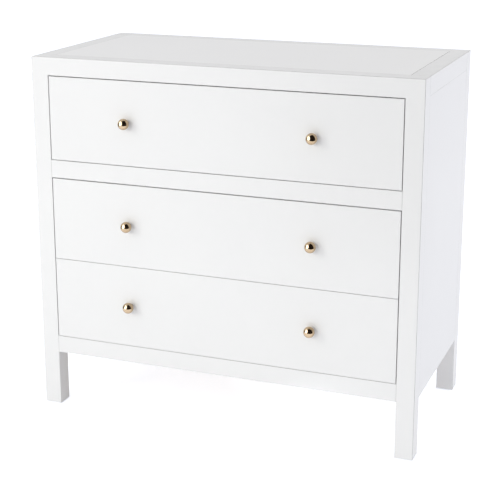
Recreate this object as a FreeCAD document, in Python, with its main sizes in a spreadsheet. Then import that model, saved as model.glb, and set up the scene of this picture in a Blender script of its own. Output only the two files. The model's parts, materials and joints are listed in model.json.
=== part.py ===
import FreeCAD
import Part
import Sketcher
import os

# Three-drawer dresser on square legs, modelled in millimetres with +Z up.
# The origin is on the floor, below the middle of the whole outline, and the
# drawers pull out along -Y. Every board has its own origin at the middle of
# its width, at its front face and at its underside.

# Driving dimensions: name, value, meaning
SIZES = (
    ("cabinet_width", 914.0, "outside width over the posts"),
    ("cabinet_depth", 457.0, "front face to back face, without the knobs"),
    ("cabinet_height", 847.5, "floor to top, with the glides"),
    ("member", 41.5, "side of the square posts and rails"),
    ("leg_clearance", 133.0, "underside of the apron above the foot of the post"),
    ("rail_depth", 22.0, "front-to-back size of the rails between the posts"),
    ("side_panel_thickness", 18.0, "flush side panels"),
    ("top_panel_thickness", 18.0, "flush centre panel of the top"),
    ("arris_radius", 1.5, "rounding of the outer corners"),
    ("seam_ease", 0.5, "chamfer beside each visible joint"),
    ("side_seam_ease", 0.3, "chamfer beside the joints round the side panels"),
    ("back_thickness", 6.0, "back panel"),
    ("back_recess", 2.0, "back panel behind the posts' back faces"),
    ("rabbet_width", 8.0, "rabbet of the rear posts, sideways"),
    ("panel_play", 0.5, "gap between the back panel's edge and its rabbet"),
    ("glide_diameter", 22.0, "plastic glide under each post"),
    ("glide_height", 3.0, "plastic glide under each post"),
    ("gap_side", 1.8, "drawer front to post"),
    ("gap_above", 2.2, "drawer front to the rail above it"),
    ("gap_below", 1.4, "top drawer front to the rail below it"),
    ("gap_apron", 0.8, "bottom drawer front to the apron below it"),
    ("gap_between", 1.0, "between the two lower drawer fronts"),
    ("front_thickness", 20.0, "applied drawer front"),
    ("front_ease", 0.8, "rounding of the drawer front's face edges"),
    ("box_rise", 16.0, "underside of the drawer box above the front's underside"),
    ("box_drop", 25.5, "rim of the drawer box below the front's top edge"),
    ("box_rear_gap", 29.0, "drawer box to back panel"),
    ("box_side_thickness", 12.0, "drawer sides"),
    ("box_end_thickness", 14.0, "front and back boards of the drawer box"),
    ("bottom_thickness", 5.0, "drawer bottom"),
    ("groove_depth", 5.0, "groove that holds the drawer bottom"),
    ("groove_rise", 10.0, "groove above the drawer box's underside"),
    ("groove_play", 0.2, "room for the bottom in its groove"),
    ("tail_count", 4, "dovetails at each corner"),
    ("pin_tip", 8.0, "width of a dovetail pin at its narrow end"),
    ("dovetail_slope", 6.0, "length over spread of a dovetail's flank"),
    ("slide_space", 12.7, "room for a slide on each side of a drawer box"),
    ("slide_setback", 2.0, "slide behind the back of the drawer front"),
    ("slide_short", 48.0, "end of the slide before the end of the drawer box"),
    ("slide_height", 45.0, "cabinet member of the slide"),
    ("slide_sheet", 1.2, "sheet steel of the slide members"),
    ("slide_bend", 1.5, "inside radius of a bend in that sheet"),
    ("race_height", 3.0, "ball race between two slide members"),
    ("slide_play", 0.6, "running gap between two slide members"),
    ("lip_play", 0.4, "gap between a slide's lip and the member inside it"),
    ("flange_inset", 2.1, "flange of the cabinet member short of the drawer box"),
    ("cleat_height", 48.0, "board behind each slide"),
    ("knob_spacing", 440.0, "between the two knobs of a drawer"),
    ("knob_rise", 2.0, "knobs above the middle of the drawer front"),
    ("ball_diameter", 25.4, "ball of the knob"),
    ("knob_stand", 16.0, "middle of the ball in front of the drawer front"),
    ("knob_foot_diameter", 12.0, "round foot of the knob"),
    ("knob_foot_thickness", 1.2, "round foot of the knob"),
    ("knob_neck_diameter", 9.0, "neck of the knob"),
)

# Sizes that follow from the driving dimensions, as expressions on the sheet
KNOB_REACH = "(Sizes.knob_stand + Sizes.ball_diameter / 2)"
FRONT_Y = f"({KNOB_REACH} - Sizes.cabinet_depth) / 2"
BACK_Y = f"({KNOB_REACH} + Sizes.cabinet_depth) / 2"
OPENING_WIDTH = "(Sizes.cabinet_width - 2 * Sizes.member)"
OPENING_DEPTH = "(Sizes.cabinet_depth - 2 * Sizes.member)"
POST_X = "(Sizes.cabinet_width - Sizes.member) / 2"
TOP_Z = "(Sizes.cabinet_height - Sizes.member)"
APRON_Z = "(Sizes.glide_height + Sizes.leg_clearance)"
RABBET_DEPTH = "(Sizes.back_thickness + Sizes.back_recess)"
FRONT_GAPS = "(Sizes.gap_above + Sizes.gap_between + Sizes.gap_apron)"
DRAWER_GAPS = f"(Sizes.gap_above + Sizes.gap_below + {FRONT_GAPS})"
FRONT_HEIGHT = f"(({TOP_Z} - {APRON_Z} - 2 * Sizes.member - {DRAWER_GAPS}) / 3)"
FRONT_WIDTH = f"({OPENING_WIDTH} - 2 * Sizes.gap_side)"

BOTTOM_FRONT_Z = f"({APRON_Z} + Sizes.member + Sizes.gap_apron)"
MIDDLE_FRONT_Z = f"({BOTTOM_FRONT_Z} + {FRONT_HEIGHT} + Sizes.gap_between)"
MIDDLE_RAIL_Z = f"({MIDDLE_FRONT_Z} + {FRONT_HEIGHT} + Sizes.gap_above)"
TOP_FRONT_Z = f"({MIDDLE_RAIL_Z} + Sizes.member + Sizes.gap_below)"
DRAWERS = (
    ("top_drawer", TOP_FRONT_Z),
    ("middle_drawer", MIDDLE_FRONT_Z),
    ("bottom_drawer", BOTTOM_FRONT_Z),
)
SIDES = (("left", -1), ("right", 1))

BOX_WIDTH = f"({OPENING_WIDTH} - 2 * Sizes.slide_space)"
BOX_HEIGHT = f"({FRONT_HEIGHT} - Sizes.box_rise - Sizes.box_drop)"
BOX_DEPTH = f"(Sizes.cabinet_depth - {RABBET_DEPTH} - Sizes.box_rear_gap - Sizes.front_thickness)"
BOX_Y = f"({FRONT_Y} + Sizes.front_thickness)"
INNER_WIDTH = f"({BOX_WIDTH} - 2 * Sizes.box_side_thickness)"
INNER_DEPTH = f"({BOX_DEPTH} - 2 * Sizes.box_end_thickness)"
TAIL_PITCH = f"({BOX_HEIGHT} / Sizes.tail_count)"
PIN_ROOT = "(Sizes.pin_tip + 2 * Sizes.box_end_thickness / Sizes.dovetail_slope)"

SLIDE_LENGTH = f"({BOX_DEPTH} - Sizes.slide_setback - Sizes.slide_short)"
SLIDE_Y = f"({BOX_Y} + Sizes.slide_setback)"
CARRIER_HEIGHT = "(Sizes.slide_height - 2 * Sizes.slide_sheet - 2 * Sizes.race_height)"
RUNNER_HEIGHT = f"({CARRIER_HEIGHT} - 2 * Sizes.slide_sheet - 2 * Sizes.race_height)"
CLEAT_THICKNESS = "(Sizes.member - Sizes.side_panel_thickness)"
BEND_FLAT = "(2 - sqrt(2))"  # setback, as a share of a bend's radius, of the flat that touches its arc

document = FreeCAD.newDocument("dresser")


def make_sheet():
    """Put the driving dimensions in a spreadsheet, each under its own alias."""
    sheet = document.addObject("Spreadsheet::Sheet", "Sizes")
    for row, (name, value, meaning) in enumerate(SIZES, 1):
        sheet.set(f"A{row}", name)
        sheet.set(f"B{row}", str(value))
        sheet.set(f"C{row}", meaning)
        sheet.setAlias(f"B{row}", name)
    document.recompute()
    return sheet


def value_of(expression):
    """The present value of an expression on the sheet."""
    return float(sizes.evalExpression(expression))


def origin_feature(body, role):
    """One of the planes or axes of a body's own origin."""
    return next(item for item in body.Origin.OriginFeatures if item.Role == role)


def new_body(label, at=("0", "0", "0")):
    """An empty body with its label and its place in the dresser."""
    body = document.addObject("PartDesign::Body", label)
    body.Label = label
    for axis, expression in zip("xyz", at):
        body.setExpression(f"Placement.Base.{axis}", expression)
    return body


def new_sketch(body, name, plane, offset=("0", "0", "0")):
    """A sketch on one of the body's origin planes, moved by an offset in the plane's axes."""
    sketch = body.newObject("Sketcher::SketchObject", name)
    sketch.AttachmentSupport = (origin_feature(body, plane), [""])
    sketch.MapMode = "FlatFace"
    for axis, expression in zip("xyz", offset):
        if expression != "0":
            sketch.setExpression(f"AttachmentOffset.Base.{axis}", expression)
    return sketch


def vector(point):
    """The present place of a sketch point given as two expressions."""
    return FreeCAD.Vector(value_of(point[0]), value_of(point[1]), 0)


def pin_point(sketch, geometry, end, point):
    """Tie an end of a sketch line or arc to two expressions, from the sketch's origin."""
    for kind, expression in zip(("DistanceX", "DistanceY"), point):
        start = value_of(expression)
        number = sketch.addConstraint(Sketcher.Constraint(kind, -1, 1, geometry, end, start))
        sketch.setExpression(f"Constraints[{number}]", expression)


def closed_outline(sketch, points):
    """Draw a closed outline of straight lines through points given as expressions."""
    count = len(points)
    for number, point in enumerate(points):
        line = Part.LineSegment(vector(point), vector(points[(number + 1) % count]))
        sketch.addGeometry(line, False)
    for number in range(count):
        following = (number + 1) % count
        sketch.addConstraint(Sketcher.Constraint("Coincident", number, 2, following, 1))
    for number, point in enumerate(points):
        pin_point(sketch, number, 1, point)


def rectangle(low_x, low_y, high_x, high_y):
    """The four corners of an upright rectangle."""
    return ((low_x, low_y), (high_x, low_y), (high_x, high_y), (low_x, high_y))


def add_circle(sketch, centre, diameter):
    """A circle tied to its centre and diameter."""
    circle = Part.Circle(vector(centre), FreeCAD.Vector(0, 0, 1), value_of(diameter) / 2)
    number = sketch.addGeometry(circle, False)
    pin_point(sketch, number, 3, centre)
    size = Sketcher.Constraint("Diameter", number, value_of(diameter))
    sketch.setExpression(f"Constraints[{sketch.addConstraint(size)}]", diameter)


def pad(body, sketch, length, along_normal=True):
    """Extrude a sketch along its normal, or against it."""
    feature = body.newObject("PartDesign::Pad", f"{sketch.Name}_pad")
    feature.Profile = sketch
    feature.setExpression("Length", length)
    feature.Reversed = not along_normal
    document.recompute()


def pocket(body, sketch, length, along_normal=True):
    """Cut a sketch into the body, along its normal or against it, and check that it cuts."""
    before = body.Shape.Volume
    feature = body.newObject("PartDesign::Pocket", f"{sketch.Name}_pocket")
    feature.Profile = sketch
    feature.setExpression("Length", length)
    feature.Reversed = along_normal
    document.recompute()
    if body.Shape.Volume >= before:
        raise RuntimeError(f"{feature.Name} cuts nothing")
    return feature


def pattern(body, feature, role, span, count):
    """Repeat a feature along one of the body's own axes, over a span."""
    row = body.newObject("PartDesign::LinearPattern", f"{feature.Name}_row")
    row.Originals = [feature]
    row.Direction = (origin_feature(body, role), [""])
    row.setExpression("Length", span)
    row.setExpression("Occurrences", count)
    body.Tip = row
    document.recompute()


def mirror_across(body, feature, role):
    """Mirror a feature across one of the body's own planes."""
    image = body.newObject("PartDesign::Mirrored", f"{feature.Name}_image")
    image.Originals = [feature]
    image.MirrorPlane = (origin_feature(body, role), [""])
    body.Tip = image
    document.recompute()


def edges_on(shape, **sides):
    """Names of the edges that lie on the named sides of the shape's own box, such as x=1, y=-1."""
    box = shape.BoundBox
    level = {
        ("x", -1): box.XMin, ("x", 1): box.XMax,
        ("y", -1): box.YMin, ("y", 1): box.YMax,
        ("z", -1): box.ZMin, ("z", 1): box.ZMax,
    }
    names = []
    for number, edge in enumerate(shape.Edges, 1):
        points = [vertex.Point for vertex in edge.Vertexes] + [edge.CenterOfMass]
        if all(
            abs(getattr(point, axis) - level[axis, side]) < 1e-6
            for axis, side in sides.items()
            for point in points
        ):
            names.append(f"Edge{number}")
    return names


def dress(body, kind, size, *places):
    """Fillet or chamfer the edges that lie on the given sides of the body."""
    names = []
    for place in places:
        names += [name for name in edges_on(body.Tip.Shape, **place) if name not in names]
    ease_edges(body, kind, f"{body.Label}_{kind.lower()}", names, size)


def ease_edges(body, kind, name, edge_names, size):
    """Add a fillet or chamfer of one size on named edges of the body as it stands."""
    base = body.Tip
    feature = body.newObject(f"PartDesign::{kind}", name)
    feature.Base = (base, edge_names)
    feature.setExpression("Radius" if kind == "Fillet" else "Size", size)
    document.recompute()


def board(label, size, at):
    """A plain board: width, depth and height, with its origin as the heading says."""
    width, depth, height = size
    body = new_body(label, at)
    sketch = new_sketch(body, f"{label}_plan", "XY_Plane")
    closed_outline(sketch, rectangle(f"-{width} / 2", "0", f"{width} / 2", depth))
    pad(body, sketch, height)
    return body


def make_post(name, side, rear):
    """A square post with rounded outer corner; the rear ones are rabbeted for the back panel."""
    y = f"{BACK_Y} - Sizes.member" if rear else FRONT_Y
    height = f"({TOP_Z} - Sizes.glide_height)"
    place = (f"{side} * {POST_X}", y, "Sizes.glide_height")
    post = board(name, ("Sizes.member", "Sizes.member", height), place)
    outside = 1 if rear else -1
    if rear:
        rabbet = new_sketch(post, f"{name}_rabbet", "XY_Plane", ("0", "0", "Sizes.leg_clearance"))
        inner = f"{-side} * Sizes.member / 2"
        shoulder = f"{-side} * (Sizes.member / 2 - Sizes.rabbet_width)"
        corners = rectangle(inner, f"Sizes.member - {RABBET_DEPTH}", shoulder, "Sizes.member")
        closed_outline(rabbet, corners)
        pocket(post, rabbet, f"({TOP_Z} - {APRON_Z})")
    dress(post, "Fillet", "Sizes.arris_radius", {"x": side, "y": outside})
    inner_edges = [{"x": -side, "y": -1}]
    if not rear:
        inner_edges += [{"x": -side, "y": 1}]
    dress(post, "Chamfer", "Sizes.seam_ease", *inner_edges)
    dress(post, "Chamfer", "Sizes.side_seam_ease", {"x": side, "y": -outside})


def make_top():
    """The top: through rails front and back, end rails between them and a flush centre panel."""
    square = "Sizes.member"
    y = {"front": FRONT_Y, "back": f"{BACK_Y} - Sizes.member"}
    for name, outside in (("front", -1), ("back", 1)):
        size = ("Sizes.cabinet_width", square, square)
        rail = board(f"top_{name}_rail", size, ("0", y[name], TOP_Z))
        corners = [{"x": side, "y": outside} for _, side in SIDES]
        outer_edges = [{"y": outside, "z": 1}] + [{"x": side, "z": 1} for _, side in SIDES]
        dress(rail, "Fillet", "Sizes.arris_radius", *corners, *outer_edges)
        dress(rail, "Chamfer", "Sizes.seam_ease", {"y": -outside, "z": 1})
    for name, side in SIDES:
        place = (f"{side} * {POST_X}", f"{FRONT_Y} + Sizes.member", TOP_Z)
        rail = board(f"top_{name}_rail", (square, OPENING_DEPTH, square), place)
        dress(rail, "Fillet", "Sizes.arris_radius", {"x": side, "z": 1})
        seams = [{"x": -side, "z": 1}, {"y": -1, "z": 1}, {"y": 1, "z": 1}]
        dress(rail, "Chamfer", "Sizes.seam_ease", *seams)
        dress(rail, "Chamfer", "Sizes.side_seam_ease", {"x": side, "z": -1})
    thickness = "Sizes.top_panel_thickness"
    place = ("0", f"{FRONT_Y} + Sizes.member", f"Sizes.cabinet_height - {thickness}")
    panel = board("top_panel", (OPENING_WIDTH, OPENING_DEPTH, thickness), place)
    dress(panel, "Chamfer", "Sizes.seam_ease", {"z": 1})


def make_rails():
    """The rails between the front posts, and the rear one inside the back panel."""
    size = (OPENING_WIDTH, "Sizes.rail_depth", "Sizes.member")
    for name, z in (("middle_rail", MIDDLE_RAIL_Z), ("bottom_rail", APRON_Z)):
        rail = board(name, size, ("0", FRONT_Y, z))
        dress(rail, "Chamfer", "Sizes.seam_ease", {"y": -1})
    board("rear_rail", size, ("0", f"{BACK_Y} - {RABBET_DEPTH} - Sizes.rail_depth", APRON_Z))


def make_panels():
    """Flush side panels between the posts, and the back panel in the rear posts' rabbets."""
    thickness = "Sizes.side_panel_thickness"
    for name, side in SIDES:
        place = (
            f"{side} * (Sizes.cabinet_width - {thickness}) / 2",
            f"{FRONT_Y} + Sizes.member",
            APRON_Z,
        )
        size = (thickness, OPENING_DEPTH, f"({TOP_Z} - {APRON_Z})")
        panel = board(f"{name}_side_panel", size, place)
        dress(panel, "Chamfer", "Sizes.side_seam_ease", {"x": side})
    width = f"({OPENING_WIDTH} + 2 * (Sizes.rabbet_width - Sizes.panel_play))"
    height = f"({TOP_Z} - {APRON_Z} - Sizes.panel_play)"
    place = ("0", f"{BACK_Y} - {RABBET_DEPTH}", APRON_Z)
    board("back_panel", (width, "Sizes.back_thickness", height), place)


def make_cleats():
    """The boards inside each side panel that bring the slides level with the posts."""
    for name, side in SIDES:
        cleats = []
        for drawer, front_z in DRAWERS:
            cleat = document.addObject("Part::Box", f"{name}_{drawer}_cleat")
            cleat.setExpression("Length", CLEAT_THICKNESS)
            cleat.setExpression("Width", OPENING_DEPTH)
            cleat.setExpression("Height", "Sizes.cleat_height")
            inset = f"{CLEAT_THICKNESS} / 2"
            middle = f"{side} * ({OPENING_WIDTH} / 2 + {inset})"
            cleat.setExpression("Placement.Base.x", f"{middle} - {inset}")
            cleat.setExpression("Placement.Base.y", f"{FRONT_Y} + Sizes.member")
            cleat.setExpression("Placement.Base.z", f"{slide_z(front_z)} - Sizes.cleat_height / 2")
            cleats.append(cleat)
        group = document.addObject("Part::Compound", f"{name}_slide_cleats")
        group.Links = cleats


def slide_z(front_z):
    """The height of a drawer's slides: the middle of its box."""
    return f"({front_z} + Sizes.box_rise + {BOX_HEIGHT} / 2)"


def make_glides():
    """The round plastic glide under each post."""
    body = new_body("glides", ("0", f"({FRONT_Y} + {BACK_Y}) / 2", "0"))
    sketch = new_sketch(body, "glide_rings", "XY_Plane")
    y = "(Sizes.cabinet_depth - Sizes.member) / 2"
    for _, across in SIDES:
        for _, along in SIDES:
            add_circle(sketch, (f"{across} * {POST_X}", f"{along} * {y}"), "Sizes.glide_diameter")
    pad(body, sketch, "Sizes.glide_height")


def channel(label, side, at, web, reach, half, lip=None):
    """A channel of bent sheet, one slide member, pulled along +Y.

    web and reach are the distances of the web's back and of the flange's far
    face from the mounting plane, towards the drawer. half is half the height
    over the flanges, and lip the height of the turned lip, where there is one.
    """
    opens = 1 if value_of(reach) > value_of(web) else -1
    sheet = f"{opens} * Sizes.slide_sheet"
    under = f"({half} - Sizes.slide_sheet)"
    body = new_body(label, at)
    sketch = new_sketch(body, f"{label}_profile", "XZ_Plane")
    upper = [(web, half), (reach, half)]
    if lip:
        lip_tip = f"({half} - {lip})"
        lip_inside = f"({reach} - {sheet})"
        upper += [(reach, lip_tip), (lip_inside, lip_tip), (lip_inside, under)]
    else:
        upper.append((reach, under))
    upper.append((f"({web} + {sheet})", under))
    lower = [(across, f"-{up}") for across, up in reversed(upper)]
    points = [(f"{-side} * {across}", up) for across, up in upper + lower]
    closed_outline(sketch, points)
    pad(body, sketch, SLIDE_LENGTH, along_normal=False)
    bends = [(web, f"({web} + {sheet})")]
    if lip:
        bends.append((reach, f"({reach} - {sheet})"))
    bends = [(f"{-side} * {out}", f"{-side} * {into}") for out, into in bends]
    ease_bends(body, bends, half, under)


def ease_bends(body, bends, half, under):
    """Turn a channel's bends, given across as outer and inner corners of the sheet.

    Each bend is one flat on either side of the sheet, touching the arc of its radius.
    """
    outer = [(value_of(out), value_of(half)) for out, _ in bends]
    inner = [(value_of(into), value_of(under)) for _, into in bends]
    for kind, corners, radius in (
        ("inner", inner, "Sizes.slide_bend"),
        ("outer", outer, "(Sizes.slide_bend + Sizes.slide_sheet)"),
    ):
        names = [
            f"Edge{number}"
            for number, edge in enumerate(body.Tip.Shape.Edges, 1)
            if any(is_along_y(edge, x, z) for x, z in corners)
        ]
        ease_edges(body, "Chamfer", f"{body.Label}_{kind}_bends", names, f"{radius} * {BEND_FLAT}")


def is_along_y(edge, x, z):
    """Whether an edge runs along Y at this x, and at this height above or below the middle."""
    if abs(edge.Vertexes[0].Y - edge.Vertexes[-1].Y) < value_of(SLIDE_LENGTH) / 2:
        return False
    return all(abs(v.X - x) < 1e-6 and abs(abs(v.Z) - z) < 1e-6 for v in edge.Vertexes)


def make_slides(drawer, front_z):
    """The three telescopic members of the slide on each side of a drawer."""
    sheet, play = "Sizes.slide_sheet", "Sizes.slide_play"
    cabinet_half = "(Sizes.slide_height / 2)"
    carrier_half = f"({CARRIER_HEIGHT} / 2)"
    runner_half = f"({RUNNER_HEIGHT} / 2)"
    cabinet_reach = "(Sizes.slide_space - Sizes.flange_inset)"
    carrier_web = f"({sheet} + {play})"
    carrier_reach = f"(Sizes.slide_space - {sheet} - {play})"
    runner_reach = f"({carrier_web} + {sheet} + {play})"
    lip = f"({sheet} + Sizes.race_height - Sizes.lip_play)"
    for name, side in SIDES:
        place = (f"{side} * {OPENING_WIDTH} / 2", SLIDE_Y, slide_z(front_z))
        slide = f"{drawer}_{name}"
        channel(f"{slide}_cabinet_slide", side, place, "0", cabinet_reach, cabinet_half, lip)
        channel(f"{slide}_slide_carrier", side, place, carrier_web, carrier_reach, carrier_half, lip)
        channel(f"{slide}_slide_runner", side, place, "Sizes.slide_space", runner_reach, runner_half)


def make_drawer_front(drawer, front_z):
    """The lacquered front, with its face edges rounded."""
    size = (FRONT_WIDTH, "Sizes.front_thickness", FRONT_HEIGHT)
    front = board(f"{drawer}_front", size, ("0", FRONT_Y, front_z))
    dress(front, "Fillet", "Sizes.front_ease", {"y": -1})


def make_box_end(drawer, name, y, front_z, rear):
    """A front or back board of the drawer box, with pins at both ends and the bottom's groove."""
    thickness = "Sizes.box_end_thickness"
    place = ("0", y, f"{front_z} + Sizes.box_rise")
    end = board(f"{drawer}_{name}", (BOX_WIDTH, thickness, BOX_HEIGHT), place)
    outer, inner = (thickness, "0") if rear else ("0", thickness)
    wide = f"({TAIL_PITCH} - Sizes.pin_tip) / 2"
    narrow = f"({TAIL_PITCH} - {PIN_ROOT}) / 2"
    middle = f"{TAIL_PITCH} / 2"
    for side_name, side in SIDES:
        offset = ("0", "0", f"{side} * {BOX_WIDTH} / 2")
        socket = new_sketch(end, f"{end.Label}_{side_name}_socket", "YZ_Plane", offset)
        tail = (
            (outer, f"{middle} - {wide}"),
            (inner, f"{middle} - {narrow}"),
            (inner, f"{middle} + {narrow}"),
            (outer, f"{middle} + {wide}"),
        )
        closed_outline(socket, tail)
        cut = pocket(end, socket, "Sizes.box_side_thickness", along_normal=side < 0)
        pattern(end, cut, "Z_Axis", f"{BOX_HEIGHT} - {TAIL_PITCH}", "Sizes.tail_count")
    groove = new_sketch(end, f"{end.Label}_groove", "XZ_Plane", ("0", "0", f"-{inner}"))
    half = f"({INNER_WIDTH} / 2 + Sizes.groove_depth)"
    groove_top = "Sizes.groove_rise + Sizes.bottom_thickness + Sizes.groove_play"
    closed_outline(groove, rectangle(f"-{half}", "Sizes.groove_rise", half, groove_top))
    pocket(end, groove, "Sizes.groove_depth", along_normal=not rear)


def make_box_side(drawer, name, side, front_z):
    """A side board of the drawer box: tails at both ends, left by cutting a row of pin sockets."""
    thickness = "Sizes.box_side_thickness"
    ends = "Sizes.box_end_thickness"
    place = (f"{side} * {BOX_WIDTH} / 2", BOX_Y, f"{front_z} + Sizes.box_rise")
    body = new_body(f"{drawer}_{name}_side", place)
    outline = new_sketch(body, f"{body.Label}_outline", "YZ_Plane")
    closed_outline(outline, rectangle("0", "0", BOX_DEPTH, BOX_HEIGHT))
    pad(body, outline, thickness, along_normal=side < 0)
    tip, root = "Sizes.pin_tip / 2", f"{PIN_ROOT} / 2"
    for end_name, outer, inner in (
        ("front", "0", ends),
        ("back", BOX_DEPTH, f"{BOX_DEPTH} - {ends}"),
    ):
        socket = new_sketch(body, f"{body.Label}_{end_name}_socket", "YZ_Plane")
        pin = ((outer, f"-{tip}"), (inner, f"-{root}"), (inner, root), (outer, tip))
        closed_outline(socket, pin)
        cut = pocket(body, socket, thickness, along_normal=side < 0)
        pattern(body, cut, "Z_Axis", BOX_HEIGHT, "Sizes.tail_count + 1")
    inner_face = f"{-side} * {thickness}"
    groove = new_sketch(body, f"{body.Label}_groove", "YZ_Plane", ("0", "0", inner_face))
    start = f"{ends} - Sizes.groove_depth"
    groove_top = "Sizes.groove_rise + Sizes.bottom_thickness + Sizes.groove_play"
    corners = rectangle(start, "Sizes.groove_rise", f"{BOX_DEPTH} - ({start})", groove_top)
    closed_outline(groove, corners)
    pocket(body, groove, "Sizes.groove_depth", along_normal=side > 0)


def make_drawer_bottom(drawer, front_z):
    """The bottom, held in the grooves all round and resting on their lower faces."""
    reach = "(Sizes.groove_depth - Sizes.groove_play)"
    width, depth = f"({INNER_WIDTH} + 2 * {reach})", f"({INNER_DEPTH} + 2 * {reach})"
    y = f"{BOX_Y} + Sizes.box_end_thickness - {reach}"
    place = ("0", y, f"{front_z} + Sizes.box_rise + Sizes.groove_rise")
    board(f"{drawer}_bottom", (width, depth, "Sizes.bottom_thickness"), place)


def make_knobs(drawer, front_z):
    """Two ball knobs, each turned in one piece with its neck and foot."""
    place = ("0", FRONT_Y, f"{front_z} + {FRONT_HEIGHT} / 2 + Sizes.knob_rise")
    body = new_body(f"{drawer}_knobs", place)
    axis_x = ("Sizes.knob_spacing / 2", "0", "0")
    sketch = new_sketch(body, f"{drawer}_knob_profile", "XY_Plane", axis_x)
    foot, neck, ball = (
        f"(Sizes.{name}_diameter / 2)" for name in ("knob_foot", "knob_neck", "ball")
    )
    join = f"-(Sizes.knob_stand - sqrt({ball} ^ 2 - {neck} ^ 2))"
    points = (
        ("0", "0"),
        (foot, "0"),
        (foot, "-Sizes.knob_foot_thickness"),
        (neck, "-Sizes.knob_foot_thickness"),
        (neck, join),
        ("0", f"-{KNOB_REACH}"),
    )
    arc = 4
    count = len(points)
    centre = ("0", "-Sizes.knob_stand")
    for number, point in enumerate(points):
        start, end = vector(point), vector(points[(number + 1) % count])
        if number == arc:
            circle = Part.Circle(vector(centre), FreeCAD.Vector(0, 0, 1), value_of(ball))
            edge = Part.ArcOfCircle(circle, circle.parameter(end), circle.parameter(start))
        else:
            edge = Part.LineSegment(start, end)
        sketch.addGeometry(edge, False)
    for number in range(count):
        following = (number + 1) % count
        last = 1 if number == arc else 2
        first = 2 if following == arc else 1
        sketch.addConstraint(Sketcher.Constraint("Coincident", number, last, following, first))
    for number in range(arc):
        pin_point(sketch, number, 1, points[number])
    pin_point(sketch, arc, 3, centre)
    radius = Sketcher.Constraint("Radius", arc, value_of(ball))
    sketch.setExpression(f"Constraints[{sketch.addConstraint(radius)}]", ball)
    sketch.addConstraint(Sketcher.Constraint("PointOnObject", arc, 1, -2))
    sketch.addConstraint(Sketcher.Constraint("Vertical", arc - 1))
    knob = body.newObject("PartDesign::Revolution", f"{drawer}_knob")
    knob.Profile = sketch
    knob.ReferenceAxis = (sketch, ["V_Axis"])
    knob.Angle = 360
    document.recompute()
    mirror_across(body, knob, "YZ_Plane")


def make_drawer(drawer, front_z):
    """One drawer with everything that moves with it, and its slides."""
    make_drawer_front(drawer, front_z)
    make_box_end(drawer, "box_front", BOX_Y, front_z, rear=False)
    back_y = f"{BOX_Y} + {BOX_DEPTH} - Sizes.box_end_thickness"
    make_box_end(drawer, "box_back", back_y, front_z, rear=True)
    for name, side in SIDES:
        make_box_side(drawer, name, side, front_z)
    make_drawer_bottom(drawer, front_z)
    make_knobs(drawer, front_z)
    make_slides(drawer, front_z)


def sub_parts():
    """The objects that are pieces of the dresser: every body and every group of boxes."""
    return [
        item
        for item in document.Objects
        if item.TypeId in ("PartDesign::Body", "Part::Compound")
    ]


def check_and_export():
    """Stop on any failed object or bad shape, then write one file for each piece."""
    for item in document.Objects:
        if "Invalid" in item.State or "Error" in item.State:
            raise RuntimeError(f"{item.Name}: {item.State}")
    for item in sub_parts():
        if item.Shape.isNull() or not item.Shape.isValid() or item.Shape.Volume <= 0:
            raise RuntimeError(f"{item.Label} has a bad shape")
    os.makedirs("parts", exist_ok=True)
    for item in sub_parts():
        item.Shape.exportStep(os.path.join("parts", f"{item.Label}.step"))
    print(f"{len(sub_parts())} pieces written")


sizes = make_sheet()
for side_name, side_sign in SIDES:
    make_post(f"front_{side_name}_post", side_sign, rear=False)
    make_post(f"rear_{side_name}_post", side_sign, rear=True)
make_top()
make_rails()
make_panels()
make_cleats()
make_glides()
for drawer_name, drawer_front_z in DRAWERS:
    make_drawer(drawer_name, drawer_front_z)
document.recompute()
check_and_export()
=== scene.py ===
"""Looks of a white lacquered dresser: three inset drawers with brass ball knobs.

Lengths are in metres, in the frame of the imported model: +Z is up, the drawers
pull out along -Y, and the origin is on the floor below the middle.
"""

import json
import logging
import math
from dataclasses import dataclass, replace
from enum import Enum
from functools import lru_cache
from typing import Callable, Iterable, Optional, Sequence, Union

import bmesh
import bpy
from mathutils import Matrix, Quaternion, Vector

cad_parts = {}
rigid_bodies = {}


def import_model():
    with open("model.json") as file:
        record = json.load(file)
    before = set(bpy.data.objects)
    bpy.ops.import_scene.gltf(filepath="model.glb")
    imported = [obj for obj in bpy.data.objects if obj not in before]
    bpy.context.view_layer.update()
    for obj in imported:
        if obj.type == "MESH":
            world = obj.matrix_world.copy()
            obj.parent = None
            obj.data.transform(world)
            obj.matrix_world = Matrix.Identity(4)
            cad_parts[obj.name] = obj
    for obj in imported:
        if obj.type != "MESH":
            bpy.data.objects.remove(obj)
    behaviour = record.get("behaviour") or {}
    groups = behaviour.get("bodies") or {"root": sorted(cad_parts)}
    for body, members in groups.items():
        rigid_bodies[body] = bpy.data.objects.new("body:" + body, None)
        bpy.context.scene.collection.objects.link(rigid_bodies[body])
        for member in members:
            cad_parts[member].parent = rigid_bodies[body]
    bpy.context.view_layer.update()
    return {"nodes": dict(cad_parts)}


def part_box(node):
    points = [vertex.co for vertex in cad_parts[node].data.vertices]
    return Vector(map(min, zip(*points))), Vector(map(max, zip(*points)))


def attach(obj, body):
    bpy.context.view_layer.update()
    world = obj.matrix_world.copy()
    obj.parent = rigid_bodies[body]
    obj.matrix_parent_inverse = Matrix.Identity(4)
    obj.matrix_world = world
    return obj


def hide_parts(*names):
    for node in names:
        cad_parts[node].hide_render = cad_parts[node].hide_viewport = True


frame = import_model()

MM = 0.001
DRAWERS = ("top", "middle", "bottom")
Colour = tuple[float, float, float]
Point = tuple[float, float, float]
Outline = list[tuple[float, float]]

UP_AXIS = 2
TURNED_CREASE = 50.0
BALL_CREASE = 80.0
BEND_STEPS = 3
SHEET_MERGE = 1e-7

log = logging.getLogger("dresser")


def evenly(first: float, last: float, count: int) -> list[float]:
    """Evenly spaced numbers from the first to the last."""
    return [first + (last - first) * part / (count - 1) for part in range(count)]


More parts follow.
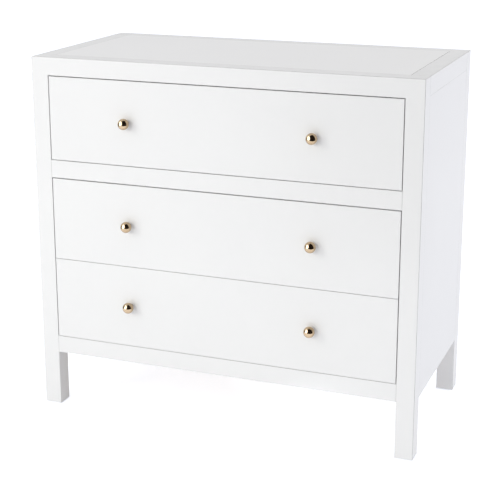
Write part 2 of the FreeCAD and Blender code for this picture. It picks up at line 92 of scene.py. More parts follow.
def quarter_turn(steps: int) -> list[float]:
    """The angles of a quarter turn in equal steps, in radians."""
    return [math.radians(90 * part / steps) for part in range(steps + 1)]


def aimed(place: Point, target: Point) -> Quaternion:
    """The turn that points a lamp or a card from a place at a target."""
    return (Vector(target) - Vector(place)).to_track_quat("-Z", "Y")


class Grain(Enum):
    """The direction that the fibres of a board run in."""

    ALONG_X = 0
    ALONG_Y = 1


class Hand(Enum):
    """The side of the dresser that a piece belongs to, with its sign along X."""

    LEFT = -1
    RIGHT = 1

    @property
    def word(self) -> str:
        """The word that node names use for this side."""
        return self.name.lower()


class Value:
    """A number that changes over a surface. Arithmetic on it adds Math nodes."""

    def __init__(self, graph: "Graph", socket: bpy.types.NodeSocket) -> None:
        """Wrap an output socket.

        Args:
            graph: The node graph that holds the socket.
            socket: The output that carries the number.
        """
        self.graph = graph
        self.socket = socket

    def math(self, operation: str, *operands: "Operand") -> "Value":
        """Add a Math node.

        Args:
            operation: The node's operation.
            operands: Its inputs in order.

        Returns:
            The node's result.
        """
        inputs = dict(enumerate(operands))
        made = self.graph.node("ShaderNodeMath", {"operation": operation}, inputs)
        return Value(self.graph, made.outputs[0])

    def __add__(self, other: "Operand") -> "Value":
        """The sum."""
        return self.math("ADD", self, other)

    def __radd__(self, other: "Operand") -> "Value":
        """The sum, with the number first."""
        return self.math("ADD", other, self)

    def __sub__(self, other: "Operand") -> "Value":
        """The difference."""
        return self.math("SUBTRACT", self, other)

    def __rsub__(self, other: "Operand") -> "Value":
        """The difference, with the number first."""
        return self.math("SUBTRACT", other, self)

    def __mul__(self, other: "Operand") -> "Value":
        """The product."""
        return self.math("MULTIPLY", self, other)

    def __rmul__(self, other: "Operand") -> "Value":
        """The product, with the number first."""
        return self.math("MULTIPLY", other, self)

    def __truediv__(self, other: "Operand") -> "Value":
        """The quotient."""
        return self.math("DIVIDE", self, other)

    def __rtruediv__(self, other: "Operand") -> "Value":
        """The quotient, with the number first."""
        return self.math("DIVIDE", other, self)

    def __pow__(self, power: "Operand") -> "Value":
        """The power."""
        return self.math("POWER", self, power)

    def __abs__(self) -> "Value":
        """The size without its sign."""
        return self.math("ABSOLUTE", self)

    def sine(self) -> "Value":
        """The sine."""
        return self.math("SINE", self)

    def step(self, low: float, high: float) -> "Value":
        """A smooth step that is 0 below low and 1 above high.

        Args:
            low: Where the step starts.
            high: Where it ends.

        Returns:
            The step, between 0 and 1.
        """
        inputs = {"Value": self, "From Min": low, "From Max": high}
        made = self.graph.node(
            "ShaderNodeMapRange", {"interpolation_type": "SMOOTHSTEP"}, inputs
        )
        return Value(self.graph, made.outputs[0])


Operand = Union[float, Value]
Given = Union[float, Sequence[float], Value, bpy.types.NodeSocket]


class Graph:
    """The nodes of one material or of the world."""

    def __init__(self, tree: bpy.types.NodeTree) -> None:
        """Start with an empty graph.

        Args:
            tree: The node tree to fill.
        """
        self.tree = tree
        tree.nodes.clear()

    def node(
        self,
        kind: str,
        settings: Optional[dict[str, object]] = None,
        inputs: Optional[dict[Union[str, int], Given]] = None,
    ) -> bpy.types.Node:
        """Add a node.

        Args:
            kind: The node's type.
            settings: Its properties, set before the inputs.
            inputs: The value or link of each input, by name or number.

        Returns:
            The new node.
        """
        made = self.tree.nodes.new(kind)
        for name, setting in (settings or {}).items():
            setattr(made, name, setting)
        for key, given in (inputs or {}).items():
            self.feed(made.inputs[key], given)
        return made

    def feed(self, socket: bpy.types.NodeSocket, given: Given) -> None:
        """Link an input or set its value.

        Args:
            socket: The input.
            given: A value, a link, or a colour of three parts.
        """
        if isinstance(given, Value):
            self.tree.links.new(given.socket, socket)
        elif isinstance(given, bpy.types.NodeSocket):
            self.tree.links.new(given, socket)
        elif socket.type == "RGBA":
            socket.default_value = (*given, 1.0)
        else:
            socket.default_value = given

    def noise(
        self,
        scale: float,
        detail: float = 3.0,
        stretch: Point = (1, 1, 1),
        distortion: float = 0.0,
    ) -> Value:
        """A noise pattern that stays with the object.

        Args:
            scale: Its features in each metre.
            detail: How many finer layers it has.
            stretch: The factor along each axis.
            distortion: How far it is pulled out of shape.

        Returns:
            The pattern, about 0.5 on average.
        """
        place = self.node("ShaderNodeTexCoord").outputs["Object"]
        mapped = self.node("ShaderNodeMapping", None, {"Vector": place, "Scale": stretch})
        inputs = {
            "Vector": mapped.outputs[0], "Scale": scale, "Detail": detail,
            "Distortion": distortion,
        }
        return Value(self, self.node("ShaderNodeTexNoise", None, inputs).outputs[0])

    def mix(self, factor: Operand, first: Given, second: Given) -> bpy.types.NodeSocket:
        """Mix two colours.

        Args:
            factor: 0 for the first colour, 1 for the second.
            first: The first colour.
            second: The second colour.

        Returns:
            The mixed colour.
        """
        made = self.node("ShaderNodeMix", {"data_type": "RGBA"})
        for number, given in ((0, factor), (6, first), (7, second)):
            self.feed(made.inputs[number], given)
        return made.outputs[2]

    def parts(self, kind: str, output: str) -> list[Value]:
        """Split the vector that a new node gives.

        Args:
            kind: The node's type.
            output: The name of its output.

        Returns:
            The parts along X, Y and Z.
        """
        vector = self.node(kind).outputs[output]
        split = self.node("ShaderNodeSeparateXYZ", None, {"Vector": vector})
        return [Value(self, part) for part in split.outputs]

    def facing(self, axis: int) -> Value:
        """How squarely the surface faces along an axis, 0 to 1."""
        return abs(self.parts("ShaderNodeNewGeometry", "Normal")[axis])

    def eased_edge(self) -> Value:
        """Find the narrow faces of eased edges, which face along no axis.

        Returns:
            1 on these faces, otherwise 0.
        """
        x, y, z = map(abs, self.parts("ShaderNodeNewGeometry", "True Normal"))
        squarest = x.math("MAXIMUM", x.math("MAXIMUM", x, y), z)
        return 1 - squarest.step(0.97, 0.999)

    def show(self, shader: bpy.types.Node, output: str = "ShaderNodeOutputMaterial") -> None:
        """Link a shader to a new output node."""
        self.feed(self.node(output).inputs["Surface"], shader.outputs[0])


class Surface(Graph):
    """The graph of a material with the shader that its output shows."""

    def __init__(self, name: str, kind: str = "ShaderNodeBsdfPrincipled") -> None:
        """Make the material with its shader.

        Args:
            name: The material's name.
            kind: The shader node's type.
        """
        self.material = bpy.data.materials.new(name)
        self.material.use_nodes = True
        super().__init__(self.material.node_tree)
        self.shader = self.node(kind)
        self.show(self.shader)

    def set(self, **sockets: Given) -> None:
        """Set or link the shader's inputs.

        Args:
            sockets: The value or link of each input, named with underscores for spaces.
        """
        for name, given in sockets.items():
            label = name.replace("_", " ").title().replace("Ior", "IOR")
            self.feed(self.shader.inputs[label], given)

    def bump(self, height: Value, depth: float, strength: float) -> None:
        """Give the surface a relief.

        Args:
            height: The relief, 0 to 1.
            depth: Its depth in metres.
            strength: How much of it shows.
        """
        inputs = {"Height": height, "Distance": depth, "Strength": strength}
        made = self.node("ShaderNodeBump", None, inputs)
        self.feed(self.shader.inputs["Normal"], made.outputs[0])


@dataclass(frozen=True)
class Finish:
    """A finish that any piece can have. Its scales count features in each metre."""

    name: str

    def dress(self, surface: Surface) -> None:
        """Fill the material's graph.

        Args:
            surface: The graph to fill.
        """
        raise NotImplementedError


@dataclass(frozen=True)
class Lacquer(Finish):
    """Sprayed satin lacquer on smooth boards."""

    colour: Colour = (0.885, 0.885, 0.885)
    shade: Colour = (0.868, 0.868, 0.870)
    level_colour: Colour = (0.885, 0.885, 0.885)
    # Painted shade on the eased edges: their darker colour, and how much of it shows.
    edge: Colour = (0.60, 0.595, 0.59)
    edge_show: float = 0.75
    roughness: float = 0.34
    roughness_spread: float = 0.08
    cloud_scale: float = 5
    mottle_scale: float = 60
    peel_scale: float = 850
    peel_depth: float = 0.03 * MM
    peel_strength: float = 0.35
    ior: float = 1.5
    coat: float = 0.25
    coat_roughness: float = 0.22

    def dress(self, surface: Surface) -> None:
        """A faint cloudiness, uneven sheen, fine peel, and painted shade on the eased edges.

        Args:
            surface: The graph to fill.
        """
        cloud = surface.noise(self.cloud_scale, 4)
        peel = surface.noise(self.peel_scale, 1)
        mottle = surface.noise(self.mottle_scale)
        tone = (cloud * 0.7 + mottle * 0.3).step(0.38, 0.66)
        level = surface.facing(UP_AXIS).step(0.9, 0.99)
        colour = surface.mix(level, self.colour, self.level_colour)
        faces = surface.mix(tone, surface.mix(0.5, self.shade, colour), colour)
        # Painted shade: the eased edges are darkened towards the edge colour.
        edge = surface.eased_edge() * self.edge_show
        surface.set(
            base_color=surface.mix(edge, faces, self.edge),
            roughness=self.roughness + (mottle - 0.5) * self.roughness_spread,
            ior=self.ior,
            coat_weight=self.coat,
            coat_roughness=self.coat_roughness,
        )
        surface.bump(peel, self.peel_depth, self.peel_strength)


@dataclass(frozen=True)
class Layer:
    """A noise pattern, with its share in the colour, the roughness and the relief."""

    scale: float
    detail: float = 3
    tone: float = 0
    sheen: float = 0
    relief: float = 0
    stretch: Point = (1, 1, 1)
    distortion: float = 0


@dataclass(frozen=True)
class Layered(Finish):
    """A finish between two colours, made of layers of noise."""

    colour: Colour
    shade: Colour
    roughness: float
    layers: tuple[Layer, ...]
    depth: float
    strength: float = 0.3
    blend: tuple[float, float] = (0.35, 0.65)
    metallic: float = 0

    def dress(self, surface: Surface) -> None:
        """Add up the layers' shares.

        Args:
            surface: The graph to fill.
        """
        made = [
            (layer, surface.noise(layer.scale, layer.detail, layer.stretch, layer.distortion))
            for layer in self.layers
        ]
        tone = sum(noise * layer.tone for layer, noise in made if layer.tone)
        rough = sum((noise - 0.5) * layer.sheen for layer, noise in made if layer.sheen)
        height = sum(noise * layer.relief for layer, noise in made if layer.relief)
        surface.set(
            base_color=surface.mix(tone.step(*self.blend), self.shade, self.colour),
            metallic=self.metallic,
            roughness=self.roughness + rough,
        )
        surface.bump(height, self.depth, self.strength)


@dataclass(frozen=True)
class Timber(Finish):
    """Clear-coated solid wood or veneer with its fibres along one axis."""

    grain: Grain = Grain.ALONG_X
    light: Colour = (0.68, 0.50, 0.31)
    dark: Colour = (0.50, 0.32, 0.165)
    pore: Colour = (0.36, 0.21, 0.10)
    ring_count: float = 5.0
    figure_scale: float = 7.0
    distortion: float = 0.4
    fibre_stretch: float = 0.09
    streak_scale: float = 160
    pore_scale: float = 900
    end_scale: float = 1100
    relief: float = 0.12 * MM
    relief_strength: float = 0.45
    roughness: float = 0.42
    coat: float = 0.15
    coat_roughness: float = 0.3

    def dress(self, surface: Surface) -> None:
        """Growth rings drawn out along the fibres, streaks, short pores and end grain.

        Args:
            surface: The graph to fill.
        """
        fibres = self.grain.value
        along = tuple(self.fibre_stretch if axis == fibres else 1.0 for axis in range(3))
        figure = surface.noise(self.figure_scale, 3, along, self.distortion)
        rings = (figure * (2 * math.pi * self.ring_count)).sine() * 0.5 + 0.5
        streaks = surface.noise(self.streak_scale, 4, along)
        pores = surface.noise(self.pore_scale, 1, along).step(0.66, 0.74)
        end = surface.facing(fibres).step(0.75, 0.95)
        dots = surface.noise(self.end_scale, 2)
        tone = (rings ** 2.0) * 0.42 + streaks.step(0.3, 0.7) * 0.35
        side_colour = surface.mix(tone, self.light, self.dark)
        pored = surface.mix(pores * 0.45, side_colour, self.pore)
        end_tone = dots.step(0.4, 0.62) * 0.5 + 0.25
        end_colour = surface.mix(end_tone, self.dark, self.pore)
        surface.set(
            base_color=surface.mix(end, pored, end_colour),
            roughness=self.roughness + streaks * 0.12 + end * 0.2,
            coat_weight=self.coat,
            coat_roughness=self.coat_roughness,
        )
        height = streaks * 0.5 + (1 - pores) * 0.3 + rings * 0.2
        surface.bump(height, self.relief, self.relief_strength)


@lru_cache(maxsize=None)
def material_of(finish: Finish) -> bpy.types.Material:
    """The material of a finish, made once.

    Args:
        finish: The finish.

    Returns:
        Its material.
    """
    surface = Surface(finish.name)
    finish.dress(surface)
    return surface.material


WHITE_LACQUER = Lacquer("white_lacquer")
# The fronts keep only a trace of the painted shade on the eased edges.
FRONT_LACQUER = Lacquer("front_lacquer", edge_show=0.1)
TOP_RAIL_LACQUER = Lacquer("top_rail_lacquer", level_colour=(0.765, 0.765, 0.767))
# Matt paint on a pressed board: short roller marks and fine pits.
BACK_PAINT = Layered(
    "back_paint", (0.80, 0.80, 0.785), (0.765, 0.765, 0.748), 0.55,
    (
        Layer(90, tone=0.6, sheen=0.15, relief=0.6, stretch=(1, 1, 0.2)),
        Layer(1400, 1, tone=0.4, relief=0.4),
    ),
    depth=0.04 * MM, strength=0.4,
)
PINE = ((0.72, 0.52, 0.30), (0.52, 0.31, 0.14), (0.42, 0.24, 0.1))
CLEAT_PINE = Timber("cleat_pine", Grain.ALONG_Y, *PINE)
RAIL_PINE = Timber("rail_pine", Grain.ALONG_X, *PINE)
BIRCH_ACROSS = Timber("birch_across", Grain.ALONG_X)
BIRCH_DEEP = Timber("birch_deep", Grain.ALONG_Y)
BOTTOM_VENEER = Timber(
    "bottom_veneer", Grain.ALONG_X, (0.72, 0.56, 0.37), (0.58, 0.40, 0.23), ring_count=8.0,
    figure_scale=3.5,
)
# Zinc on rolled steel: streaks of the rolling along Y, spangle and handling marks.
ZINC_LAYERS = (
    Layer(700, tone=0.5, relief=1, stretch=(1, 0.02, 1)),
    Layer(260, 2, sheen=0.2),
    Layer(35, 4, tone=0.5, sheen=0.06),
)
SLIDE_ZINC = Layered(
    "slide_zinc", (0.60, 0.61, 0.62), (0.44, 0.45, 0.47), 0.35, ZINC_LAYERS,
    depth=0.02 * MM, metallic=1,
)
SCREW_ZINC = replace(
    SLIDE_ZINC, name="screw_zinc", colour=(0.66, 0.66, 0.65), shade=(0.5, 0.5, 0.5),
    roughness=0.28,
)
BALL_STEEL = replace(
    SLIDE_ZINC, name="ball_steel", colour=(0.72, 0.72, 0.73), shade=(0.6, 0.6, 0.62),
    roughness=0.13,
)
# Polished brass under clear lacquer: swirls, and a deeper tone where hands miss it.
KNOB_BRASS = Layered(
    "knob_brass", (0.56, 0.425, 0.28), (0.49, 0.36, 0.225), 0.06,
    (
        Layer(500, tone=0.3, sheen=0.05, relief=1, distortion=1.5),
        Layer(90, tone=0.7, sheen=0.06),
    ),
    depth=0.008 * MM, strength=0.2, blend=(0.3, 0.6), metallic=1,
)
# Moulded dark plastic: the texture of the mould and scuffs.
GLIDE_PLASTIC = Layered(
    "glide_plastic", (0.055, 0.052, 0.05), (0.03, 0.028, 0.027), 0.5,
    (Layer(2600, 2, relief=1), Layer(180, 4, tone=1, sheen=0.3)),
    depth=0.03 * MM, strength=0.4, blend=(0.4, 0.65),
)
# Painted shade: the colour of the dark strip that stands for the shadow inside the joint at the
# right end of the top.
JOINT_SHADE = replace(
    GLIDE_PLASTIC, name="open_joint", colour=(0.16, 0.155, 0.15), shade=(0.11, 0.105, 0.10),
    roughness=0.8,
)
KNOB_WORDS = "_ball_knobs"


class Shape:
    """A mesh in the making, shaped with the mesh operators."""

    def __init__(self) -> None:
        """Start with an empty mesh."""
        self.mesh = bmesh.new()

    def box(self, low: Sequence[float], high: Sequence[float]) -> "Shape":
        """Add a box.

        Args:
            low: Its lowest corner.
            high: Its highest corner.

        Returns:
            This shape.
        """
        low, high = Vector(low), Vector(high)
        size = Matrix.Diagonal((*(high - low), 1))
        place = Matrix.Translation((low + high) / 2) @ size
        bmesh.ops.create_cube(self.mesh, size=1, matrix=place)
        return self

    def ball(self, centre: Point, radius: float, segments: int, rings: int) -> "Shape":
        """Add a ball.

        Args:
            centre: Its middle.
            radius: Its radius.
            segments: Faces round it.
            rings: Faces from pole to pole.

        Returns:
            This shape.
        """
        bmesh.ops.create_uvsphere(
            self.mesh, u_segments=segments, v_segments=rings, radius=radius,
            matrix=Matrix.Translation(centre),
        )
        return self

    def turned(self, outline: Outline, steps: int) -> "Shape":
        """Turn an outline about the Z axis, as on a lathe.

        Args:
            outline: Radius and height of each point, from pole to pole.
            steps: Faces round it.

        Returns:
            This shape.
        """
        points = [self.mesh.verts.new((radius, 0, height)) for radius, height in outline]
        edges = [self.mesh.edges.new(pair) for pair in zip(points, points[1:])]
        bmesh.ops.spin(
            self.mesh, geom=points + edges, cent=(0, 0, 0), axis=(0, 0, 1),
            angle=2 * math.pi, steps=steps, use_merge=True,
        )
        return self.closed()

    def closed(self, distance: float = 1e-6) -> "Shape":
        """Merge doubled points and turn all faces outwards.

        Args:
            distance: How near two points are to count as one.

        Returns:
            This shape.
        """
        bmesh.ops.remove_doubles(self.mesh, verts=self.mesh.verts, dist=distance)
        bmesh.ops.recalc_face_normals(self.mesh, faces=self.mesh.faces)
        return self

    def moved(self, matrix: Matrix) -> "Shape":
        """Move everything so far by a matrix."""
        bmesh.ops.transform(self.mesh, matrix=matrix, verts=self.mesh.verts)
        return self

    def rounded(
        self,
        radius: float,
        segments: int,
        chosen: Callable[[bmesh.types.BMEdge], bool] = lambda edge: True,
    ) -> "Shape":
        """Round edges.

        Args:
            radius: The width of the rounding on each face.
            segments: Faces across it.
            chosen: Tells which edges are rounded.

        Returns:
            This shape.
        """
        bmesh.ops.bevel(
            self.mesh, geom=[edge for edge in self.mesh.edges if chosen(edge)],
            offset=radius, segments=segments, profile=0.5, affect="EDGES",
            clamp_overlap=True, material=-1,
        )
        return self

    def sheet_channel(
        self,
        middle_line: Outline,
        length: float,
        gauge: float,
        bend: float,
    ) -> "Shape":
        """Bend a strip of sheet into a channel along +Y.

        Args:
            middle_line: Across and up of each corner of the sheet's middle.
            length: The channel's length.
            gauge: The sheet's thickness.
            bend: The radius of the bends, at the middle of the sheet.

        Returns:
            This shape.
        """
        points = [self.mesh.verts.new((across, 0, up)) for across, up in middle_line]
        line = [self.mesh.edges.new(pair) for pair in zip(points, points[1:])]
        drawn = bmesh.ops.extrude_edge_only(self.mesh, edges=line)["geom"]
        ends = [item for item in drawn if isinstance(item, bmesh.types.BMVert)]
        bmesh.ops.translate(self.mesh, verts=ends, vec=(0, length, 0))
        self.rounded(bend, BEND_STEPS, lambda edge: len(edge.link_faces) == 2)
        bmesh.ops.recalc_face_normals(self.mesh, faces=self.mesh.faces)
        faces = list(self.mesh.faces)
        bmesh.ops.solidify(self.mesh, geom=faces, thickness=gauge)
        return self.closed(SHEET_MERGE)

    def copies(self, places: Iterable[Matrix]) -> "Shape":
        """Copy this shape to several places.

        Args:
            places: The matrices that move the copies.

        Returns:
            A new shape of all copies.
        """
        group = Shape()
        for place in places:
            copy = bpy.data.meshes.new("copy")
            self.mesh.to_mesh(copy)
            copy.transform(place)
            group.mesh.from_mesh(copy)
            bpy.data.meshes.remove(copy)
        return group

    def cut(self, cutter: "Shape") -> "Shape":
        """Cut another shape out of this one.

        Args:
            cutter: The other shape.

        Returns:
            This shape.
        """
        solids = [self.linked("body"), cutter.linked("cutter")]
        body, tool = solids
        boolean = body.modifiers.new("cut", "BOOLEAN")
        boolean.object = tool
        boolean.solver = "EXACT"
        graph = bpy.context.evaluated_depsgraph_get()
        result = bpy.data.meshes.new_from_object(body.evaluated_get(graph))
        self.mesh.clear()
        self.mesh.from_mesh(result)
        for mesh in (result, *(solid.data for solid in solids)):
            bpy.data.meshes.remove(mesh)
        return self

    def linked(self, name: str, *materials: bpy.types.Material) -> bpy.types.Object:
        """Put a copy of the mesh so far into the scene.

        Args:
            name: The object's name.
            materials: Its materials.

        Returns:
            The object.
        """
        mesh = bpy.data.meshes.new(name)
        self.mesh.to_mesh(mesh)
        for material in materials:
            mesh.materials.append(material)
        made = bpy.data.objects.new(name, mesh)
        bpy.context.scene.collection.objects.link(made)
        return made

    def piece(
        self,
        name: str,
        finish: Finish,
        body: str,
        slot: str,
        stands_for: Iterable[str] = (),
        crease: float = 35.0,
    ) -> bpy.types.Object:
        """Make the finished object.

        Args:
            name: Its name.
            finish: Its finish.
            body: The body that carries it.
            slot: Its material slot in the record; not used.
            stands_for: The nodes that it replaces.
            crease: The angle in degrees above which an edge stays sharp.

        Returns:
            The object.
        """
        made = self.linked(name, material_of(finish))
        self.mesh.free()
        made.data.shade_smooth()
        made.data.set_sharp_from_angle(angle=math.radians(crease))
        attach(made, body)
        nodes = tuple(stands_for)
        if nodes:
            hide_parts(*nodes)
        log.info("%s: %d faces on %s", name, len(made.data.polygons), body)
        return made


def dress_node(node: str, finish: Finish) -> None:
    """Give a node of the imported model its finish.

    Args:
        node: The node's name.
        finish: Its finish.
    """
    materials = frame["nodes"][node].data.materials
    materials.clear()
    materials.append(material_of(finish))
    log.info("%s: dressed in %s", node, finish.name)


def facing(sense: int, place: Sequence[float]) -> Matrix:
    """Turn a shape made about +Z to point along Y, 1 or -1, from a place."""
    return Matrix.Translation(place) @ Matrix.Rotation(math.radians(-90 * sense), 4, "X")


@dataclass
class CrossHeadScrew:
    """The head of a cross-recessed screw, made about +Z on the plane Z = 0."""

    radius: float = 3.6 * MM
    height: float = 2.2 * MM
    recess_span: float = 3.8 * MM
    recess_width: float = 0.9 * MM
    recess_depth: float = 1.3 * MM
    rim_share: float = 0.45
    steps: int = 20

    def shape(self) -> Shape:
        """Make the head with its recess.

        Returns:
            The head.
        """
        rise = [
            (
                self.radius * math.cos(turn),
                self.height * (self.rim_share + (1 - self.rim_share) * math.sin(turn)),
            )
            for turn in quarter_turn(5)
        ]
        outline = [(0, 0), (self.radius, 0), *rise[:-1], (0, self.height)]
        head = Shape().turned(outline, self.steps)
        top = self.height + self.recess_depth
        bottom = self.height - self.recess_depth
        spans = (self.recess_span / 2, self.recess_width / 2)
        for across, up in (spans, spans[::-1]):
            head.cut(Shape().box((-across, -up, bottom), (across, up, top)))
        return head


# Radius and height of the head, then span, width and depth of its recess.
FIXING_SCREW = CrossHeadScrew()
FLAT_SCREW = CrossHeadScrew(3.4 * MM, 0.45 * MM, 3.2 * MM, 0.8 * MM, 0.35 * MM)
PAN_SCREW = CrossHeadScrew(3.4 * MM, 1.9 * MM, 3.4 * MM, 0.8 * MM, 1.1 * MM)
TRUSS_SCREW = CrossHeadScrew(4.6 * MM, 2.4 * MM, 4.4 * MM, 1.0 * MM, 1.4 * MM)


@dataclass
class Glide:
    """One round glide with a softened rim and a hollow for its nail."""

    radius: float
    height: float
    rim: float = 0.8 * MM
    hollow_radius: float = 2.2 * MM
    hollow_mouth: float = 2.6 * MM
    hollow_lip: float = 0.2 * MM
    steps: int = 40

    def shape(self) -> Shape:
        """Turn the glide, standing on the plane Z = 0.

        Returns:
            The glide.
        """
        rim = self.rim
        outline = [
            (0, rim), (self.hollow_radius, rim), (self.hollow_mouth, self.hollow_lip),
            (self.radius - 2 * rim, 0),
        ]
        outline += [
            (self.radius - rim + rim * math.sin(turn), rim - rim * math.cos(turn))
            for turn in quarter_turn(4)
        ]
        outline += [(self.radius, self.height), (0, self.height)]
        return Shape().turned(outline, self.steps)


@dataclass
class Carcase:
    """The frame of posts and rails, its panels, feet and back fixings."""

    pin_radius: float = 2.4 * MM
    pin_height: float = 0.9 * MM
    pin_inset: float = 5.0 * MM
    pins_across: int = 7
    pins_up: int = 5
    pin_steps: int = 12
    joint_width: float = 0.8 * MM
    joint_depth: float = 0.1 * MM

    lacquered: tuple[str, ...] = (
        "front_left_post", "front_right_post", "rear_left_post", "rear_right_post",
        "top_panel", "left_side_panel", "right_side_panel", "middle_rail", "bottom_rail",
    )

    def build(self) -> None:
        """Dress the carcase and add what the model leaves out."""
        for node in self.lacquered:
            dress_node(node, WHITE_LACQUER)
        for side in ("front", "back", "left", "right"):
            dress_node(f"top_{side}_rail", TOP_RAIL_LACQUER)
        dress_node("back_panel", BACK_PAINT)
        dress_node("rear_rail", RAIL_PINE)
        for hand in Hand:
            dress_node(f"{hand.word}_slide_cleats", CLEAT_PINE)
        self.back_pins()
        self.end_joint()
        self.feet()

    def end_joint(self) -> None:
        """A dark strip of painted shade in the joint between the top panel and its right end rail.
        """
        low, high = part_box("top_panel")
        half = self.joint_width / 2
        top = high.z - self.joint_depth
        line = Shape().box((high.x - half, low.y, top - half), (high.x + half, high.y, top))
        line.piece("top_end_joint", JOINT_SHADE, "cabinet", "white_lacquer")

    def back_pins(self) -> None:
        """The heads of the pins that hold the back panel to the posts and rails."""
        low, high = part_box("back_panel")
        left, right = low.x + self.pin_inset, high.x - self.pin_inset
        foot, top = low.z + 3 * self.pin_inset, high.z - self.pin_inset
        spots = [(x, z) for x in evenly(left, right, self.pins_across) for z in (foot, top)]
        rows = evenly(foot, top, self.pins_up)[1:-1]
        spots += [(x, z) for x in (left, right) for z in rows]
        outline = [
            (0, 0), (self.pin_radius, 0), (self.pin_radius, self.pin_height * 0.4),
            (self.pin_radius * 0.6, self.pin_height * 0.9), (0, self.pin_height),
        ]
        head = Shape().turned(outline, self.pin_steps)
        pins = head.copies(facing(1, (x, high.y, z)) for x, z in spots)
        pins.piece("back_panel_pins", SCREW_ZINC, "cabinet", "slide_steel")

    def feet(self) -> None:
        """The four glides, each below the middle of its leg."""
        low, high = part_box("glides")
        post_low, post_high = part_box("front_right_post")
        radius = high.x - (post_low.x + post_high.x) / 2
        glide = Glide(radius, high.z - low.z).shape()
        feet = glide.copies(
            Matrix.Translation((x, y, low.z))
            for x in (low.x + radius, high.x - radius)
            for y in (low.y + radius, high.y - radius)
        )
        feet.piece("foot_glides", GLIDE_PLASTIC, "cabinet", "glide_plastic", ("glides",))


@dataclass
class Knobs:
    """The two turned ball knobs of one drawer."""

    drawer: str
    foot_radius: float = 6.0 * MM
    foot_height: float = 1.2 * MM
    neck_radius: float = 4.5 * MM
    foot_edge: float = 0.4 * MM
    cove: float = 1.2 * MM
    steps: int = 64
    arc_steps: int = 28

    def build(self) -> None:
        """Turn the two knobs."""
        node = f"{self.drawer}_drawer_knobs"
        low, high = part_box(node)
        ball = (high.z - low.z) / 2
        middle = (low.z + high.z) / 2
        knob = Shape().turned(self.outline(ball, high.y - low.y), self.steps)
        middles = (low.x + ball, high.x - ball)
        pair = knob.copies(facing(-1, (x, high.y, middle)) for x in middles)
        pair.piece(
            f"{self.drawer}{KNOB_WORDS}", KNOB_BRASS, f"{self.drawer}_drawer", "knob_brass",
            (node,), crease=TURNED_CREASE,
        )

    def outline(self, ball: float, reach: float) -> Outline:
        """The knob's outline: a rounded foot, a cove up to the neck, and the ball.

        Args:
            ball: The radius of the ball.
            reach: The height of the whole knob.

        Returns:
            Radius and height of each point, from the drawer to the tip.
        """
        stand = reach - ball
        edge = self.foot_edge
        points = [(0, 0), (self.foot_radius, 0)]
        for turn in quarter_turn(4):
            across = self.foot_radius - edge + edge * math.cos(turn)
            points.append((across, self.foot_height - edge + edge * math.sin(turn)))
        for turn in quarter_turn(4):
            across = self.neck_radius + self.cove * (1 - math.sin(turn))
            points.append((across, self.foot_height + self.cove * (1 - math.cos(turn))))
        start = math.asin(self.neck_radius / ball)
        for turn in evenly(start, math.pi, self.arc_steps + 1)[:-1]:
            points.append((ball * math.sin(turn), stand - ball * math.cos(turn)))
        points.append((0, reach))
        return points


